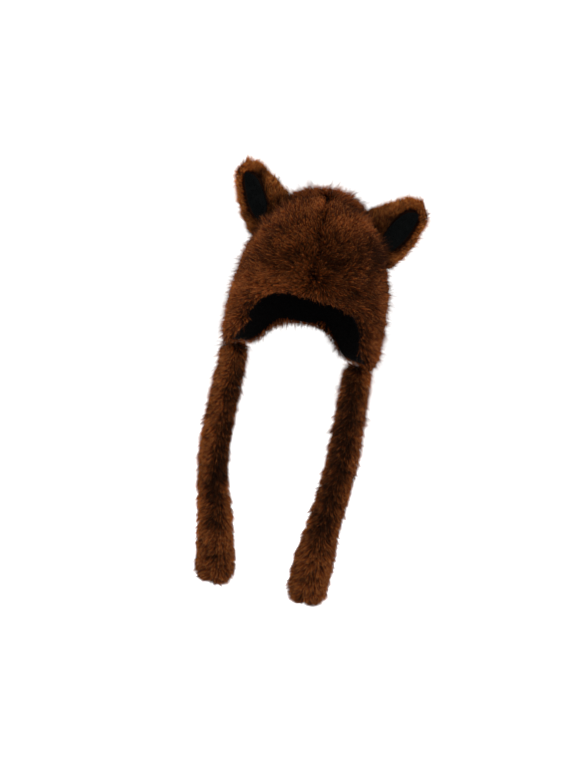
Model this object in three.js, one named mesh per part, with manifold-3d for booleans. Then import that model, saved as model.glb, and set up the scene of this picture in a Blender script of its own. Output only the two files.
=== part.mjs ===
// A fox ear hat of long brown fur with a black plush lining and two stuffed fur ties.
// Millimetres, +Z up. -Y is the wearer's front, and -X is on the left of a front view.
// The origin is where the top of the head meets the lining.

import * as THREE from 'three';
import Module from 'manifold-3d';

const wasm = await Module();
wasm.setup();

// Gaps between pieces side by side and one on the other, and the smallest detail a cut leaves
const seamGap = 0.5;
const seatGap = 0.3;
const crumb = 0.15;

// Heights above the lining's inner face, out to where the crown's fur stands on its backing
const liningOuter = 2.5;
const backingInner = liningOuter + seatGap;
const backingOuter = backingInner + 2;

// Fur: the height of its locks, how many rows run down a piece and how wide a lock is
const crownFur = { pile: 12, tiers: 12, lockWidth: 16, seamDip: 0.45, seamReach: 11 };
const earFur = { pile: 6.5, tiers: 5, lockWidth: 13, round: 0.7, tip: 0.05 };
const tieFur = { pile: 7, tiers: 18, lockWidth: 15, collar: 0.012 };

// How a row of locks stands off its backing: lengths are shares of a row, heights of the pile
const lockShape = { reach: 0.34, retreat: 0.16, step: 0.07, valley: 0.66, root: 0.42, uneven: 0.3 };

// The crown's fur panels, between seams given by their turn from the right side round the back
const crownPanels = [
  { name: 'crown_front_left', from: 180, to: 270, seed: 187 },
  { name: 'crown_front_right', from: 270, to: 360, seed: 277 },
  { name: 'crown_back', from: 0, to: 180, seed: 7 },
];

// The columns and rows of the grid that the lining and the inside of the fur share
const crownGrid = { columns: 40, rows: 11 };

// Rings of the lining's inner face, from the point where the fur seams meet down to the rim.
// x and y are where the sides are; fore and aft run from there to the front and the back.
const crownRings = [
  { x: 0, y: -30, wide: 0, fore: 0, aft: 0, foreZ: -11, sideZ: -11, aftZ: -11 },
  { x: 3, y: -27, wide: 38, fore: 25, aft: 35, foreZ: -17, sideZ: -19, aftZ: 2 },
  { x: 3, y: -20, wide: 64, fore: 52, aft: 65, foreZ: -28, sideZ: -42, aftZ: -5 },
  { x: 1, y: -12, wide: 83, fore: 74, aft: 87, foreZ: -46, sideZ: -74, aftZ: -28 },
  { x: 2, y: -6, wide: 90, fore: 88, aft: 97, foreZ: -66, sideZ: -107, aftZ: -62 },
  { x: 2, y: -2, wide: 95, fore: 95, aft: 100, foreZ: -88, sideZ: -142, aftZ: -101 },
  { x: 1.5, y: 0, wide: 98, fore: 98, aft: 98, foreZ: -110, sideZ: -180, aftZ: -140 },
  { x: 1, y: 0, wide: 96, fore: 98, aft: 95, foreZ: -131, sideZ: -218, aftZ: -179 },
];
// Where the rim rises from the ear flaps to the brow and to the nape, as shares of the way there
const rimRise = { fore: { from: 0.2, to: 0.92 }, aft: { from: 0.72, to: 1 } };
// The brow hangs lower over the right eye
const browDip = { degrees: 312, spread: 28, deep: 8 };

// Ears: the middle of each base over the seam, how broad it is against its rings, how far it leans
// out, and the rings from the base up. out and wide are a ring's middle and half width along the
// seam, back and front its half depths,
// dish and hollow the middle and half width of the hollow in its front.
const ears = {
  left: { side: -1, broad: 0.93, x: -74.5, y: -21, z: -27, lean: 39, tilt: 5, seed: 70 },
  right: { side: 1, broad: 1.07, x: 79.5, y: -19, z: -34, lean: 44, tilt: 5, seed: 72 },
};
const earRings = [
  { up: -36, out: 4, wide: 34, back: 9, front: 10, dish: 10.5, hollow: 12 },
  { up: 0, out: 4, wide: 33, back: 10, front: 11, dish: 10, hollow: 13 },
  { up: 24, out: 4, wide: 28.5, back: 9, front: 10, dish: 6.5, hollow: 14.5 },
  { up: 46, out: 4, wide: 21.5, back: 7.5, front: 8, dish: 2, hollow: 11.5 },
  { up: 62, out: 3.5, wide: 15, back: 6, front: 6, dish: 0, hollow: 7.5 },
  { up: 74.5, out: 3, wide: 5.5, back: 3, front: 3, dish: -1, hollow: 2 },
];
// How deep that hollow is, and the black panel in it: its share of the hollow's width, where it
// starts and ends up the ear, and its grid
const earDish = { deep: 8, panel: 0.92, from: -8, to: 60, thick: 1.6 };
// outward is how far its narrow ends lie over to the ear's outer edge
const panelGrid = { rows: 8, columns: 6, blunt: 0.35, fullness: 2.2, outward: 0.6 };

// Ties: the middle of each, from the ear flap down to the round end, and its size there
const tieDepth = 0.86;
const ties = {
  left: { seed: 4, rows: [
    { x: -88, y: 8, z: -218.5, wide: 13 },
    { x: -88, y: 8, z: -240, wide: 14.5 },
    { x: -89.5, y: 6, z: -300, wide: 15.5 },
    { x: -90, y: 4, z: -360, wide: 16 },
    { x: -83.5, y: 2, z: -415, wide: 16 },
    { x: -73, y: 2, z: -455, wide: 18.5 },
    { x: -64, y: 4, z: -500, wide: 20 },
    { x: -57.5, y: 6, z: -532, wide: 23 },
    { x: -56, y: 6, z: -548, wide: 21.5 },
    { x: -56, y: 6, z: -557, wide: 14 },
  ] },
  right: { seed: 5, rows: [
    { x: 88, y: 8, z: -218.5, wide: 14 },
    { x: 88, y: 8, z: -240, wide: 15.5 },
    { x: 90, y: 6, z: -300, wide: 16.5 },
    { x: 91, y: 4, z: -350, wide: 17 },
    { x: 87, y: 1, z: -405, wide: 17.5 },
    { x: 82, y: 0, z: -452, wide: 18 },
    { x: 79.5, y: 2, z: -490, wide: 22 },
    { x: 77.5, y: 6, z: -532, wide: 23 },
    { x: 77, y: 7, z: -552, wide: 22 },
    { x: 77, y: 7, z: -562, wide: 15 },
  ] },
};

// Plain envelopes of what presses into the crown's fur: how far they clear the locks
const envelope = {
  slack: 2,
  sides: 16,
  earPlaces: [0, 0.2, 0.4, 0.6, 0.8, 1.03],
  tiePlaces: [0, 0.05, 0.1],
};

const fur = { color: 0x5a2c12, roughness: 0.85, metalness: 0 };
const plush = { color: 0x0b0b0c, roughness: 0.95, metalness: 0 };

// Numbers and curves

function randomFrom(seed) {
  let state = seed;
  return () => {
    state = (state * 1664525 + 1013904223) % 4294967296;
    return state / 4294967296;
  };
}

function through(a, b, c, d, u) {
  const bend = (2 * a - 5 * b + 4 * c - d) * u * u + (3 * b - a - 3 * c + d) * u * u * u;
  return b + 0.5 * ((c - a) * u + bend);
}

// A smooth value of one column at a place along a table, where 0 is its first row and 1 its last
function column(rows, name, at, before) {
  const last = rows.length - 1;
  const row = Math.min(Math.max(Math.floor(at * last), 0), last - 1);
  const value = (i) => rows[i][name];
  const first = row > 0 ? value(row - 1) : before ?? 2 * value(0) - value(1);
  const end = row + 2 <= last ? value(row + 2) : 2 * value(last) - value(last - 1);
  return through(first, value(row), value(row + 1), end, at * last - row);
}

// A closed body built from rings of points, each with a key that orders it along its ring

class Body {
  points = [];
  triangles = [];

  add(point, key) {
    this.points.push(point);
    return { id: this.points.length - 1, key };
  }

  // Joins two rings. Seen from outside, keys run to the right and the second ring is the lower one.
  join(upper, lower, inside = false) {
    let i = 0;
    let j = 0;
    while (i < upper.length - 1 || j < lower.length - 1) {
      const upperNext = j === lower.length - 1 || upper[i + 1]?.key <= lower[j + 1].key;
      const next = upperNext ? upper[i + 1] : lower[j + 1];
      const corners = [upper[i].id, lower[j].id, next.id];
      this.triangles.push(inside ? corners.reverse() : corners);
      if (upperNext) i += 1;
      else j += 1;
    }
  }

  joinAll(rings, inside = false) {
    for (let i = 1; i < rings.length; i += 1) this.join(rings[i - 1], rings[i], inside);
  }

  solid() {
    const vertProperties = new Float32Array(this.points.flatMap((p) => p.toArray()));
    const triVerts = new Uint32Array(this.triangles.flat());
    return new wasm.Manifold(new wasm.Mesh({ numProp: 3, vertProperties, triVerts }));
  }
}

// What is left of a piece after a cut, without the crumbs that a cut can leave
function largest(solid) {
  return solid.simplify(crumb).decompose().sort((a, b) => b.volume() - a.volume())[0];
}

function meshOf(name, solid, finish) {
  const { vertProperties, triVerts } = solid.getMesh();
  const geometry = new THREE.BufferGeometry();
  geometry.setAttribute('position', new THREE.BufferAttribute(vertProperties, 3));
  geometry.setIndex(new THREE.BufferAttribute(triVerts, 1));
  geometry.computeVertexNormals();
  const mesh = new THREE.Mesh(geometry, new THREE.MeshStandardMaterial(finish));
  mesh.name = name;
  return mesh;
}

// Rows of pointed locks, one below the other like tiles. place(key, t, lift) gives a point on a
// backing, where key and t run over it from 0 to 1 and lift is the height above it.
function lockRows(body, place, { pile, tiers, locksAt, closed, random, last = tiers }) {
  const rings = [];
  for (let tier = 0; tier < last; tier += 1) {
    const row = 1 / tiers;
    const end = (tier + 1) * row;
    const steps = 2 * locksAt(end);
    const tips = [];
    const roots = [];
    for (let i = 0; i <= steps; i += 1) {
      if (closed && i === steps) {
        tips.push({ id: tips[0].id, key: 1 });
        roots.push({ id: roots[0].id, key: 1 });
        break;
      }
      const inner = i > 0 && i < steps;
      const key = (i + (inner ? 0.5 * (random() - 0.5) : 0)) / steps;
      const peak = (i + tier) % 2 === 1;
      const uneven = 1 + lockShape.uneven * (random() - 0.5);
      const t = end + row * (peak ? lockShape.reach * uneven : -lockShape.retreat);
      tips.push(place(key, t, pile * uneven * (peak ? 1 : lockShape.valley)));
      roots.push(place(key, t + row * lockShape.step, pile * lockShape.root));
    }
    rings.push(tips, roots);
  }
  return rings;
}

// Crown

// The ring before the first, mirrored across the point where the seams meet
const poleBefore = {
  x: crownRings[1].x,
  y: crownRings[1].y,
  wide: -crownRings[1].wide,
  fore: -crownRings[1].aft,
  aft: -crownRings[1].fore,
  foreZ: crownRings[1].aftZ,
  sideZ: crownRings[1].sideZ,
  aftZ: crownRings[1].foreZ,
};

function liningPoint(angle, t) {
  const value = (name) => column(crownRings, name, t, poleBefore[name]);
  const sine = Math.sin(angle);
  const end = sine < 0 ? 'fore' : 'aft';
  const share = Math.abs(sine);
  const atRim = THREE.MathUtils.smoothstep(share, rimRise[end].from, rimRise[end].to);
  const towardEnd = THREE.MathUtils.lerp(share, atRim, t * t);
  const fromDip = (THREE.MathUtils.radToDeg(angle) - browDip.degrees) / browDip.spread;
  const dip = browDip.deep * Math.exp(-fromDip * fromDip) * t ** 3;
  const sideZ = value('sideZ');
  return new THREE.Vector3(
    value('x') + value('wide') * Math.cos(angle),
    value('y') + value(end) * sine,
    sideZ + (value(`${end}Z`) - sideZ) * towardEnd - dip,
  );
}

function crownFrame(angle, t) {
  const near = 1e-3;
  const row = Math.max(t, 4 * near);
  const around = liningPoint(angle + near, row).sub(liningPoint(angle - near, row)).normalize();
  const down = liningPoint(angle, row + near).sub(liningPoint(angle, row - near)).normalize();
  return { around, outward: down.cross(around).normalize() };
}

function crownPoint(angle, t, lift) {
  return liningPoint(angle, t).addScaledVector(crownFrame(angle, t).outward, lift);
}

const rowsDown = Array.from({ length: crownGrid.rows }, (_, i) => (i + 1) / crownGrid.rows);

// The whole shell of the crown at one height above the lining's inner face
function crownShell(body, lift, rows) {
  const rings = [[body.add(crownPoint(0, 0, lift), 0)]];
  for (const t of rows) {
    const ring = [];
    for (let i = 0; i < crownGrid.columns; i += 1) {
      const angle = (2 * Math.PI * i) / crownGrid.columns;
      ring.push(body.add(crownPoint(angle, t, lift), i));
    }
    ring.push({ id: ring[0].id, key: crownGrid.columns });
    rings.push(ring);
  }
  return rings;
}

function lining() {
  const body = new Body();
  const outer = crownShell(body, liningOuter, rowsDown);
  const inner = crownShell(body, 0, rowsDown);
  body.joinAll(outer);
  body.joinAll(inner, true);
  body.join(outer.at(-1), inner.at(-1));
  return body.solid();
}

// A plain solid dome, for cutting whatever is sewn onto the backing
function crownCore(lift) {
  const body = new Body();
  const rings = crownShell(body, lift, rowsDown);
  body.joinAll(rings);
  body.join(rings.at(-1), [body.add(new THREE.Vector3(0, 0, crownRings.at(-1).sideZ), 0)]);
  return body.solid();
}

// One fur panel between two seams that run down from where all seams meet
function furPanel(fromDegrees, toDegrees, seed) {
  const body = new Body();
  const random = randomFrom(seed);
  const [from, to] = [fromDegrees, toDegrees].map(THREE.MathUtils.degToRad);
  const middle = (from + to) / 2;
  const width = (t) => ((to - from) * (crownPoint(0, t, 0).x + crownPoint(middle, t, 0).length())) / 2;
  const place = (key, t, lift) => {
    const angle = from + (to - from) * key;
    const { around, outward } = crownFrame(angle, t);
    const away = key === 0 ? 0.5 : key === 1 ? -0.5 : 0;
    const point = liningPoint(angle, t).addScaledVector(outward, lift);
    return body.add(point.addScaledVector(around, away * seamGap), key);
  };
  const furPlace = (key, t, lift) => {
    const fromSeam = Math.min(key, 1 - key) * width(t);
    const dip = 1 - crownFur.seamDip * Math.exp(-((fromSeam / crownFur.seamReach) ** 2));
    return place(key, t, backingOuter + lift * dip);
  };
  const corner = (lift) => {
    const spread = seamGap / 2 / Math.sin((to - from) / 2);
    const across = new THREE.Vector3(Math.cos(middle), Math.sin(middle), 0);
    return [body.add(crownPoint(middle, 0, lift).addScaledVector(across, spread), 0)];
  };
  const locksAt = (t) => Math.max(2, Math.round(width(t) / crownFur.lockWidth));
  const outer = [
    corner(backingOuter + crownFur.pile * (1 - crownFur.seamDip)),
    ...lockRows(body, furPlace, { ...crownFur, locksAt, random }).slice(0, -1),
  ];
  const columns = Math.round((crownGrid.columns * (to - from)) / (2 * Math.PI));
  const keys = Array.from({ length: columns + 1 }, (_, i) => i / columns);
  const inner = [
    corner(backingInner),
    ...rowsDown.map((t) => keys.map((key) => place(key, t, backingInner))),
  ];
  body.joinAll(outer);
  body.joinAll(inner, true);
  body.join(outer.at(-1), inner.at(-1));
  const edge = (rings, end) => rings.map((ring, i) => ({ id: ring.at(end).id, key: i / (rings.length - 1) }));
  body.join(edge(outer, 0), edge(inner, 0));
  body.join(edge(inner, -1), edge(outer, -1));
  return body.solid();
}

// Plain rings at set places down a piece
function plainRings(place, count, places, lift) {
  return places.map((t) => {
    const ring = Array.from({ length: count }, (_, i) => place(i / count, t, lift));
    return [...ring, { id: ring[0].id, key: 1 }];
  });
}

// Ears

const earSpan = { from: earRings[0].up, to: earRings.at(-1).up };

function earSection(up) {
  let low = 0;
  while (low < earRings.length - 2 && earRings[low + 1].up < up) low += 1;
  const share = (up - earRings[low].up) / (earRings[low + 1].up - earRings[low].up);
  const read = (name) => column(earRings, name, (low + share) / (earRings.length - 1));
  return Object.fromEntries(Object.keys(earRings[0]).map((name) => [name, read(name)]));
}

// How far the front of the ear is pushed in at a place across it
function earHollow(section, across) {
  const off = (across - section.dish) / section.hollow;
  const share = Math.max(0, 1 - off * off);
  return share * earDish.deep * Math.min(1, section.wide / earRings[2].wide);
}

function earFront(section, across) {
  const round = Math.sqrt(Math.max(0, 1 - (across / section.wide) ** 2));
  return -section.front * round + earHollow(section, across);
}

// Turns a point of the ear's own frame, x out along the seam, y back, z up the ear, into the hat's
function earMatrix({ side, broad, x, y, z, lean, tilt }) {
  const frame = new THREE.Group();
  const turn = [-tilt, side * lean, 0].map(THREE.MathUtils.degToRad);
  frame.position.set(x, y, z);
  frame.rotation.set(...turn, 'YXZ');
  frame.scale.x = side * broad;
  frame.updateMatrix();
  return frame.matrix;
}

// The fur of an ear, or with no seed the plain envelope that the crown's fur is cut back to
function earBody(ear, seed) {
  const body = new Body();
  const matrix = earMatrix(ear);
  const add = (x, y, z, key) => body.add(new THREE.Vector3(x, y, z).applyMatrix4(matrix), key);
  const upAt = (t) => Math.min(earSpan.to, THREE.MathUtils.lerp(earSpan.to, earSpan.from, t));
  const place = (key, t, lift) => {
    const section = earSection(upAt(t));
    const angle = ear.side * 2 * Math.PI * key;
    const [cosine, sine] = [Math.cos(angle), Math.sin(angle)];
    const across = section.wide * cosine;
    const hollow = seed && sine < 0 ? earHollow(section, across) : 0;
    const reach = hollow > 0 ? 0 : lift;
    const depth = (sine > 0 ? section.back : section.front) * sine + hollow;
    return add(section.out + across + reach * cosine, depth + reach * sine, upAt(t), key);
  };
  const girth = (t) => 2 * Math.PI * earFur.round * earSection(upAt(t)).wide;
  const locksAt = (t) => Math.max(4, Math.round(girth(t) / earFur.lockWidth));
  const end = (up) => [add(0, 0, up, 0)];
  if (!seed) {
    const lift = earFur.pile + envelope.slack;
    const rings = plainRings(place, envelope.sides, envelope.earPlaces, lift);
    body.joinAll([end(earSpan.to + lift), ...rings, end(earSpan.from - 2 * earFur.pile)]);
    return body.solid();
  }
  const random = randomFrom(seed);
  body.joinAll([
    end(earSpan.to + earFur.pile * 0.8),
    ...plainRings(place, 2 * locksAt(earFur.tip), [earFur.tip], earFur.pile),
    ...lockRows(body, place, { ...earFur, locksAt, closed: true, random, last: earFur.tiers - 1 }),
    ...plainRings(place, 2 * locksAt(1), [1], earFur.pile * 0.7),
    end(earSpan.from - earFur.pile),
  ]);
  return body.solid();
}

// The black panel that lies in the hollow of the ear, grown on all sides to cut its seat
function earPanel(ear, grow = 0) {
  const body = new Body();
  const matrix = earMatrix(ear);
  const { rows, columns } = panelGrid;
  const upAt = (share) => THREE.MathUtils.lerp(earDish.to + grow, earDish.from - grow, share);
  const point = (share, step, front) => {
    const section = earSection(upAt(share));
    const fromEnd = Math.min(share, 1 - share);
    const round = Math.min(1, panelGrid.blunt + Math.sqrt(fromEnd * panelGrid.fullness));
    const full = section.hollow * earDish.panel;
    const half = full * round + grow;
    const x = section.dish + full * (1 - round) * panelGrid.outward + half * (2 * step - 1);
    const y = earFront(section, x) + (front ? -earDish.thick - grow : grow);
    return new THREE.Vector3(section.out + x, y, upAt(share)).applyMatrix4(matrix);
  };
  const last = columns - 1;
  const rings = Array.from({ length: rows + 1 }, (_, row) => {
    const ring = Array.from({ length: 2 * columns }, (_, i) => {
      const at = ear.side > 0 ? i : 2 * last + 1 - i;
      const front = at <= last;
      return body.add(point(row / rows, (front ? at : 2 * last + 1 - at) / last, front), i);
    });
    return [...ring, { id: ring[0].id, key: ring.length }];
  });
  const middle = (share) => {
    const [a, b] = [true, false].map((front) => point(share, 0.5, front));
    return [body.add(a.lerp(b, 0.5), 0)];
  };
  body.joinAll([middle(0), ...rings, middle(1)]);
  return body.solid();
}

// Ties

// The fur of a tie, or with no seed the plain envelope of its upper end
function tieBody(rows, seed) {
  const body = new Body();
  const curve = new THREE.CatmullRomCurve3(rows.map(({ x, y, z }) => new THREE.Vector3(x, y, z)));
  const radius = (t) => column(rows, 'wide', curve.getUtoTmapping(Math.min(t, 1)));
  const place = (key, t, lift) => {
    const along = Math.min(t, 1);
    const down = curve.getTangentAt(along);
    const deep = new THREE.Vector3(0, 1, 0).addScaledVector(down, -down.y).normalize();
    const wide = down.clone().cross(deep);
    const angle = 2 * Math.PI * key;
    const reach = radius(along) + lift;
    const point = curve.getPointAt(along);
    point.addScaledVector(wide, reach * Math.cos(angle));
    point.addScaledVector(deep, tieDepth * reach * Math.sin(angle));
    return body.add(point, key);
  };
  const end = (t, beyond) => [
    body.add(curve.getPointAt(t).addScaledVector(curve.getTangentAt(t), beyond), 0),
  ];
  if (!seed) {
    const lift = tieFur.pile + envelope.slack;
    const rings = plainRings(place, envelope.sides, envelope.tiePlaces, lift);
    body.joinAll([end(0, -seatGap), ...rings, end(envelope.tiePlaces.at(-1), 0)]);
    return body.solid();
  }
  const girth = (t) => 2 * Math.PI * (radius(t) + tieFur.pile / 2);
  const locksAt = (t) => Math.round(girth(t) / tieFur.lockWidth);
  const count = 2 * locksAt(0);
  const random = randomFrom(seed);
  body.joinAll([
    end(0, 0),
    ...plainRings(place, count, [0], tieFur.pile * 0.4),
    ...plainRings(place, count, [tieFur.collar], tieFur.pile * 0.7),
    ...lockRows(body, place, { ...tieFur, locksAt, closed: true, random, last: tieFur.tiers - 1 }),
    ...plainRings(place, count, [1], tieFur.pile * 0.3),
    end(1, tieFur.pile),
  ]);
  return body.solid();
}

// The hat

const hat = new THREE.Group();
const add = (name, solid, finish) => hat.add(meshOf(name, solid, finish));
const inTheEar = crownCore(backingOuter + seatGap);
const inTheCrown = crownCore(backingOuter);
const cuts = [];

for (const [side, ear] of Object.entries(ears)) {
  const body = earBody(ear, ear.seed).subtract(inTheEar).subtract(earPanel(ear, seatGap));
  add(`ear_${side}`, largest(body), fur);
  add(`ear_panel_${side}`, largest(earPanel(ear).subtract(inTheEar)), plush);
  cuts.push(earBody(ear).subtract(inTheCrown));
}

for (const [side, { seed, rows }] of Object.entries(ties)) {
  add(`tie_${side}`, tieBody(rows, seed), fur);
  cuts.push(tieBody(rows));
}

for (const { name, from, to, seed } of crownPanels) {
  const panel = cuts.reduce((solid, tool) => solid.subtract(tool), furPanel(from, to, seed));
  add(name, largest(panel), fur);
}

add('lining', lining(), plush);

export default hat;
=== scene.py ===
import math

import bpy
import numpy as np
from mathutils import Matrix, Vector
from mathutils.bvhtree import BVHTree
from mathutils.kdtree import KDTree


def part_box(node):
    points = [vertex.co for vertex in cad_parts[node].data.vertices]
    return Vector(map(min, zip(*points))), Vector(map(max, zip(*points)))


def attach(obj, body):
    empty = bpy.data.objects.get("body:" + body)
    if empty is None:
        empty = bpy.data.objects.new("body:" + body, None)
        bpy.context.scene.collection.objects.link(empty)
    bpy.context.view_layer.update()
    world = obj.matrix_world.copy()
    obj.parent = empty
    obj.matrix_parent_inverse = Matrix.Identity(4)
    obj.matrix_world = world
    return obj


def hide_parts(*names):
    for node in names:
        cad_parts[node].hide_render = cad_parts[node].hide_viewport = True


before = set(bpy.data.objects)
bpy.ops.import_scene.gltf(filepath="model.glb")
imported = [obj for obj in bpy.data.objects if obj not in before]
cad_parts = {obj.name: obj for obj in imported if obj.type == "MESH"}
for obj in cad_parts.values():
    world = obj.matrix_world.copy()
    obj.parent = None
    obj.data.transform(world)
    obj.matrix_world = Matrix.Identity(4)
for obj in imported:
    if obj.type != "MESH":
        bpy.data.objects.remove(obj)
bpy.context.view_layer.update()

mm = 0.001
straightDown = np.array([0, 0, -1.0])
hairMap = "OFBake"  # the hairs' own map: along each hair, and how light the hair is


# Small helpers for objects and meshes

def workOn(piece):
    bpy.ops.object.select_all(action="DESELECT")
    piece.select_set(True)
    bpy.context.view_layer.objects.active = piece


def finishWith(piece, kind, **settings):
    workOn(piece)
    modifier = piece.modifiers.new(kind.title(), kind)
    for name, value in settings.items():
        setattr(modifier, name, value)
    bpy.ops.object.modifier_apply(modifier=modifier.name)


def dress(piece, material):
    workOn(piece)
    bpy.ops.object.shade_smooth()
    piece.data.materials.append(material)


def editAll(piece, *steps):
    workOn(piece)
    bpy.ops.object.mode_set(mode="EDIT")
    bpy.ops.mesh.select_all(action="SELECT")
    for step in steps:
        step()
    bpy.ops.object.mode_set(mode="OBJECT")


def selectFaces(piece, chosen):
    # chosen holds one truth for each face, and edit mode is left open
    workOn(piece)
    bpy.ops.object.mode_set(mode="EDIT")
    bpy.ops.mesh.select_mode(type="FACE")
    bpy.ops.mesh.select_all(action="DESELECT")
    bpy.ops.object.mode_set(mode="OBJECT")
    piece.data.polygons.foreach_set("select", np.array(chosen, bool))
    bpy.ops.object.mode_set(mode="EDIT")


def copyOf(node, name, merge=0.02 * mm):
    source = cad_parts[node]
    piece = bpy.data.objects.new(name, source.data.copy())
    bpy.context.scene.collection.objects.link(piece)
    piece.data.materials.clear()
    workOn(piece)
    bpy.ops.mesh.customdata_custom_splitnormals_clear()
    editAll(piece, lambda: bpy.ops.mesh.remove_doubles(threshold=merge))
    return piece


def vertexArray(mesh):
    points = np.empty(len(mesh.vertices) * 3, np.float32)
    mesh.vertices.foreach_get("co", points)
    return points.reshape(-1, 3).astype(float)


def normalArray(mesh):
    normals = np.empty(len(mesh.vertices) * 3, np.float32)
    mesh.vertex_normals.foreach_get("vector", normals)
    return normals.reshape(-1, 3).astype(float)


def triangleArray(mesh):
    mesh.calc_loop_triangles()
    corners = np.empty(len(mesh.loop_triangles) * 3, np.int32)
    mesh.loop_triangles.foreach_get("vertices", corners)
    return corners.reshape(-1, 3)


# Distances, directions and smooth numbers

def treeOf(node):
    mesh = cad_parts[node].data
    return BVHTree.FromPolygons(vertexArray(mesh).tolist(), triangleArray(mesh).tolist())


def pointTree(places):
    tree = KDTree(len(places))
    for index, place in enumerate(places):
        tree.insert(place, index)
    tree.balance()
    return tree


def distanceTo(tree, points, reach=50 * mm):
    # from each point to a surface, or the reach where nothing is that near
    found = [tree.find_nearest(point, reach) for point in points.tolist()]
    return np.array([reach if hit[3] is None else hit[3] for hit in found])


def isInside(tree, points, ray=(0.13, -0.97, 0.2), step=0.01 * mm):
    # a point is inside a closed mesh where a ray from it crosses the surface an odd number of times
    ray = Vector(ray).normalized()
    inside = []
    for point in points.tolist():
        crossings, start = 0, Vector(point)
        while (place := tree.ray_cast(start, ray)[0]) is not None:
            crossings, start = crossings + 1, place + ray * step
        inside.append(crossings % 2 == 1)
    return np.array(inside)


def isUnder(tree, points, normals, reach):
    # whether something lies over a point, along its normal
    places = zip(points.tolist(), normals.tolist())
    hits = [tree.ray_cast(Vector(point), Vector(normal), reach)[0] for point, normal in places]
    return np.array([hit is not None for hit in hits])


def unit(vectors):
    return vectors / np.maximum(np.linalg.norm(vectors, axis=-1, keepdims=True), 1e-9)


def dot(a, b):
    return (a * b).sum(-1, keepdims=True)


def along(vectors, normals):
    # the part of each vector that lies in the surface
    return unit(vectors - normals * dot(vectors, normals))


def ease(low, high, values):
    # 0 up to the low value, 1 from the high one
    share = np.clip((values - low) / (high - low), 0, 1)
    return share * share * (3 - 2 * share)


def fade(reach, values):
    # 1 up to the nearer of two values, 0 from the farther one
    return 1 - ease(*reach, values)


def between(start, end, share):
    return start + (end - start) * share


def ripples(points, size, seed, waves=11, pitches=(0.7, 1.5)):
    # smooth random numbers around 0, whose hills are about that size
    random = np.random.default_rng(seed)
    pitch = unit(random.normal(size=(waves, 3))) * random.uniform(*pitches, (waves, 1))
    phase = random.uniform(0, 2 * math.pi, waves)
    return np.sin(points @ pitch.T * (math.pi / size) + phase).sum(1) / math.sqrt(waves / 2)


def bumps(values, table):
    # a sum of smooth bumps, whose rows hold a middle, a spread and a height
    return sum(height * np.exp(-((values - middle) / spread) ** 2) for middle, spread, height in table)


def blotches(points, table):
    # how much lighter a table of places makes the fur: where, in mm across and up, how far it
    # spreads both ways, and how much lighter
    tone = np.zeros(len(points))
    for across, up, wide, high, lighter in table:
        sideways = (points[:, 0] - across * mm) / (wide * mm)
        upwards = (points[:, 2] - up * mm) / (high * mm)
        tone += lighter * np.exp(-(sideways ** 2 + upwards ** 2))
    return tone


# Shader maths

class Wire:
    def __init__(self, tree, socket=None):
        self.tree = tree
        self.socket = socket

    def node(self, kind, settings=None, inputs=None, output=0):
        made = self.tree.nodes.new("ShaderNode" + kind)
        for name, value in (settings or {}).items():
            if name == "stops":
                fillRamp(made.color_ramp, value)
            else:
                setattr(made, name, value)
        for name, value in (inputs or {}).items():
            if isinstance(value, Wire):
                self.tree.links.new(value.socket, made.inputs[name])
            else:
                made.inputs[name].default_value = value
        return Wire(self.tree, made.outputs[output])

    def maths(self, operation, a, b):
        return self.node("Math", {"operation": operation}, {0: a, 1: b})

    def __add__(self, other):
        return self.maths("ADD", self, other)

    def __radd__(self, other):
        return self.maths("ADD", other, self)

    def __mul__(self, other):
        return self.maths("MULTIPLY", self, other)

    def __rmul__(self, other):
        return self.maths("MULTIPLY", other, self)

    def mix(self, a, b):
        # this wire is how much of b shows
        return self.node("Mix", {"data_type": "RGBA"}, {0: self, 6: a, 7: b}, output=2)


def fillRamp(ramp, stops):
    while len(ramp.elements) < len(stops):
        ramp.elements.new(0.5)
    for element, (place, colour) in zip(ramp.elements, stops):
        element.position = place
        element.color = colour


def linear(red, green, blue):
    # a colour as a colour picker shows it, 0 to 255
    def one(value):
        share = value / 255
        return share / 12.92 if share <= 0.04045 else ((share + 0.055) / 1.055) ** 2.4
    return (one(red), one(green), one(blue), 1.0)


def newMaterial(name):
    material = bpy.data.materials.new(name)
    material.use_nodes = True
    tree = material.node_tree
    return material, Wire(tree), tree.nodes["Principled BSDF"]


def plug(wire, shader, name):
    wire.tree.links.new(wire.socket, shader.inputs[name])


def hairMaterial(name, look):
    # Along the hair from root to tip, once for the dark hairs and once for the light ones. The near-black
    # roots are painted shade deep in the fur.
    material, start, shader = newMaterial(name)
    place = start.node("UVMap", {"uv_map": hairMap})
    split = start.node("SeparateXYZ", {}, {"Vector": place})
    tone = Wire(start.tree, split.socket.node.outputs["Y"])
    darkStops = [(at, linear(*low)) for at, low, _ in look["stops"]]
    lightStops = [(at, linear(*high)) for at, _, high in look["stops"]]
    dark = start.node("ValToRGB", {"stops": darkStops}, {"Fac": split})
    light = start.node("ValToRGB", {"stops": lightStops}, {"Fac": split})
    plug(tone.mix(dark, light), shader, "Base Color")
    plug(look["roughness"] + split * look["tipGloss"], shader, "Roughness")
    shader.inputs["Specular IOR Level"].default_value = look["specular"]
    return material


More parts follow.
